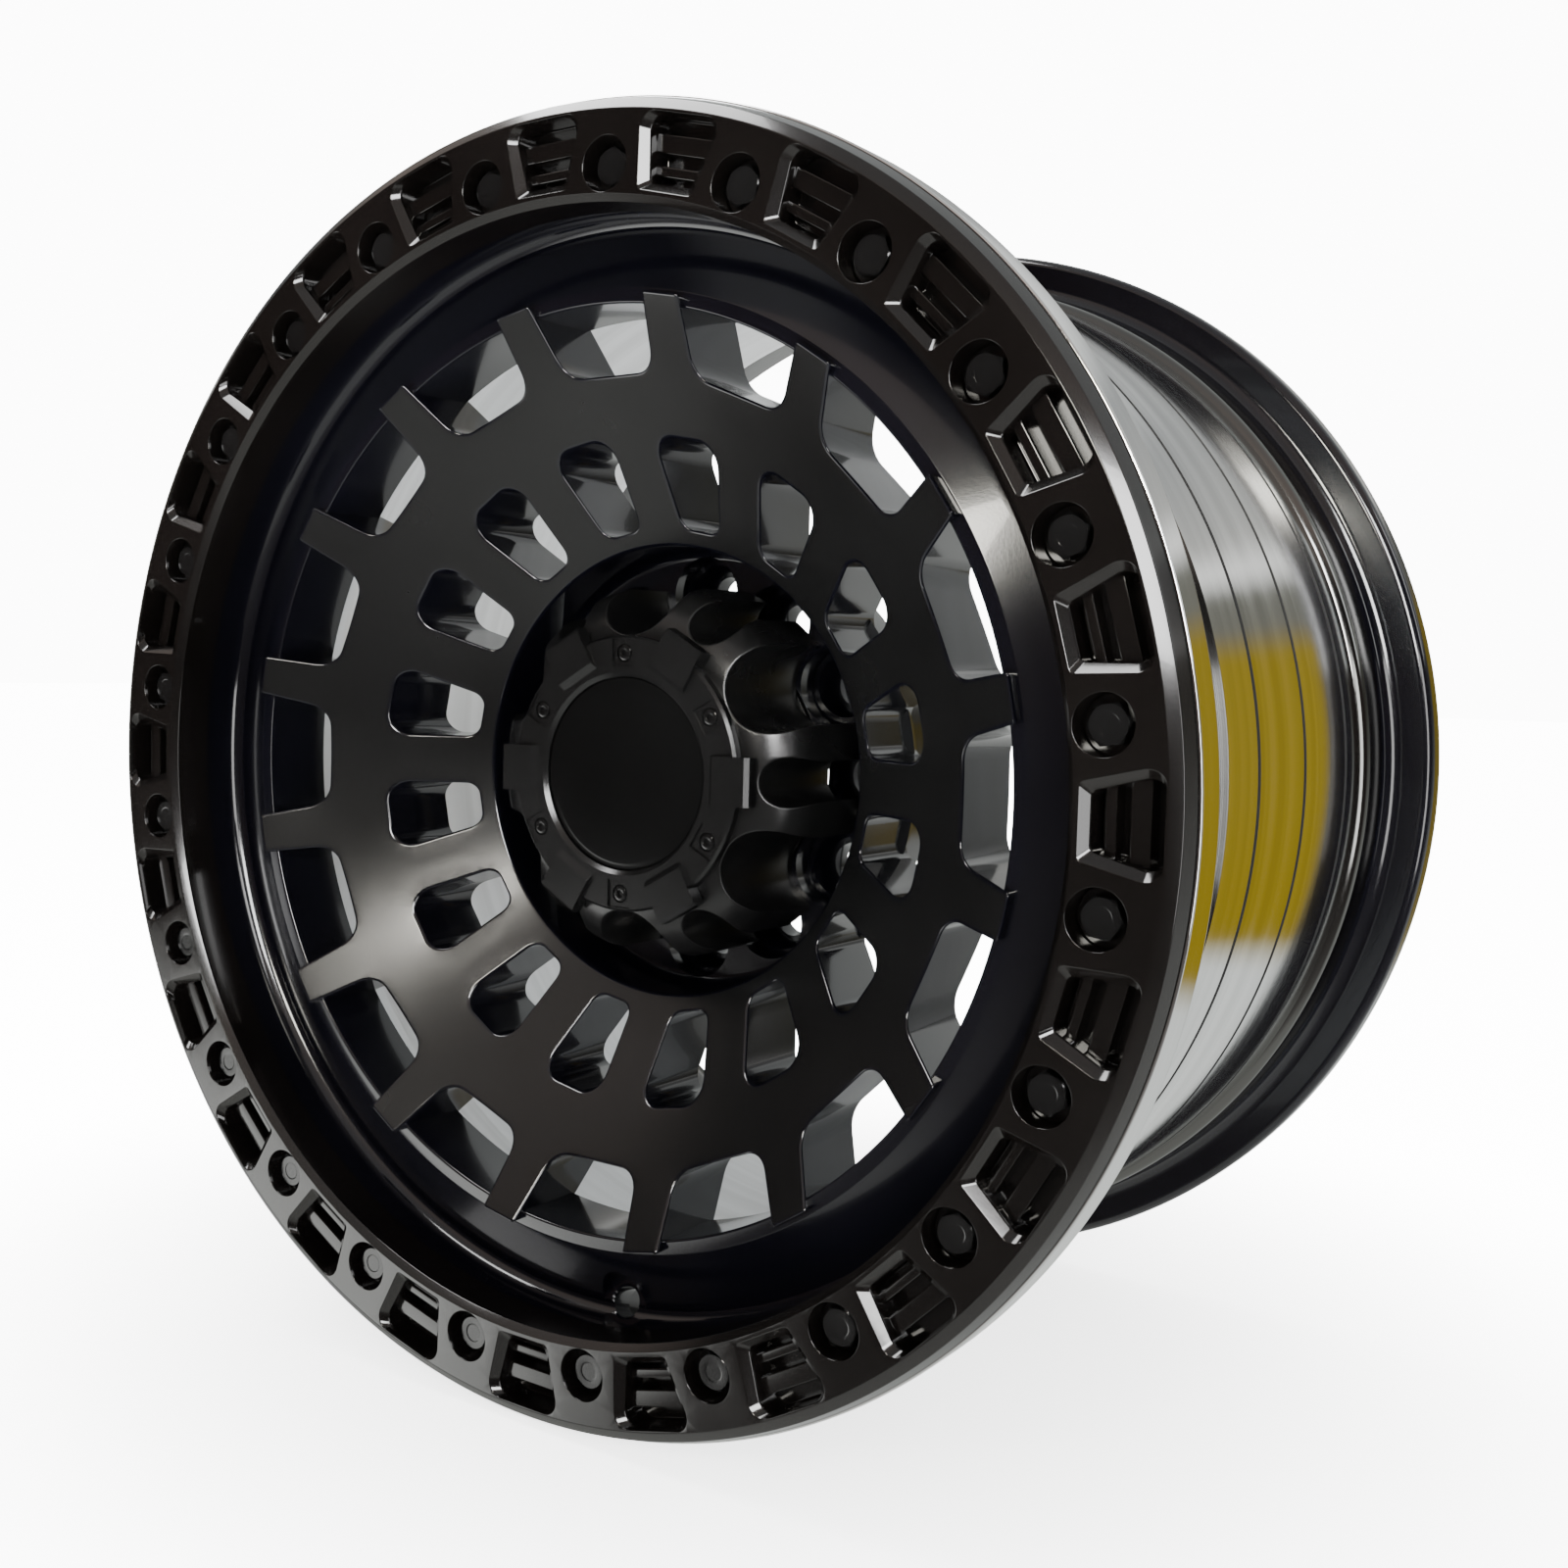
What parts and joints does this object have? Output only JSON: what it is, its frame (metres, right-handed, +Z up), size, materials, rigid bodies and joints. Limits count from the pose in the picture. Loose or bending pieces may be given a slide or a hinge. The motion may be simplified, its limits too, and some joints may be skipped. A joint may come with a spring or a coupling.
{
  "type": "car wheel",
  "caption": "Deep-dish alloy wheel for a six-stud hub, with a concave windowed disc, a bolted outer ring with pockets and a tall scalloped centre cap.",
  "frame": {"origin": "middle of the wheel: on the spin axis, half way between the ring's front face and the rear flange's face", "axes": "+Y along the spin axis towards the vehicle, +Z up, +X to the right seen from the front"},
  "size_m": [0.4719, 0.296, 0.472],
  "materials": {
    "wheel_black_coat": "satin and gloss black coat, machined bare outside the barrel",
    "ring_black_coat": "gloss black coat",
    "cap_satin_black": "satin black moulding",
    "trim_black": "satin black moulding",
    "badge_black": "bare black disc",
    "ring_bolt_black": "black coated steel",
    "cap_screw_black": "black coated steel"
  },
  "bodies": {
    "root": {"wheel_casting": "wheel_black_coat", "bolted_ring": "ring_black_coat", "centre_cap": "cap_satin_black", "cap_trim_ring": "trim_black", "cap_badge": "badge_black", "ring_bolt_01": "ring_bolt_black", "ring_bolt_02": "ring_bolt_black", "ring_bolt_03": "ring_bolt_black", "ring_bolt_04": "ring_bolt_black", "ring_bolt_05": "ring_bolt_black", "ring_bolt_06": "ring_bolt_black", "ring_bolt_07": "ring_bolt_black", "ring_bolt_08": "ring_bolt_black", "ring_bolt_09": "ring_bolt_black", "ring_bolt_10": "ring_bolt_black", "ring_bolt_11": "ring_bolt_black", "ring_bolt_12": "ring_bolt_black", "ring_bolt_13": "ring_bolt_black", "ring_bolt_14": "ring_bolt_black", "ring_bolt_15": "ring_bolt_black", "ring_bolt_16": "ring_bolt_black", "ring_bolt_17": "ring_bolt_black", "ring_bolt_18": "ring_bolt_black", "ring_bolt_19": "ring_bolt_black", "ring_bolt_20": "ring_bolt_black", "ring_bolt_21": "ring_bolt_black", "ring_bolt_22": "ring_bolt_black", "ring_bolt_23": "ring_bolt_black", "ring_bolt_24": "ring_bolt_black", "cap_screw_1": "cap_screw_black", "cap_screw_2": "cap_screw_black", "cap_screw_3": "cap_screw_black", "cap_screw_4": "cap_screw_black", "cap_screw_5": "cap_screw_black", "cap_screw_6": "cap_screw_black"}
  },
  "joints": []
}
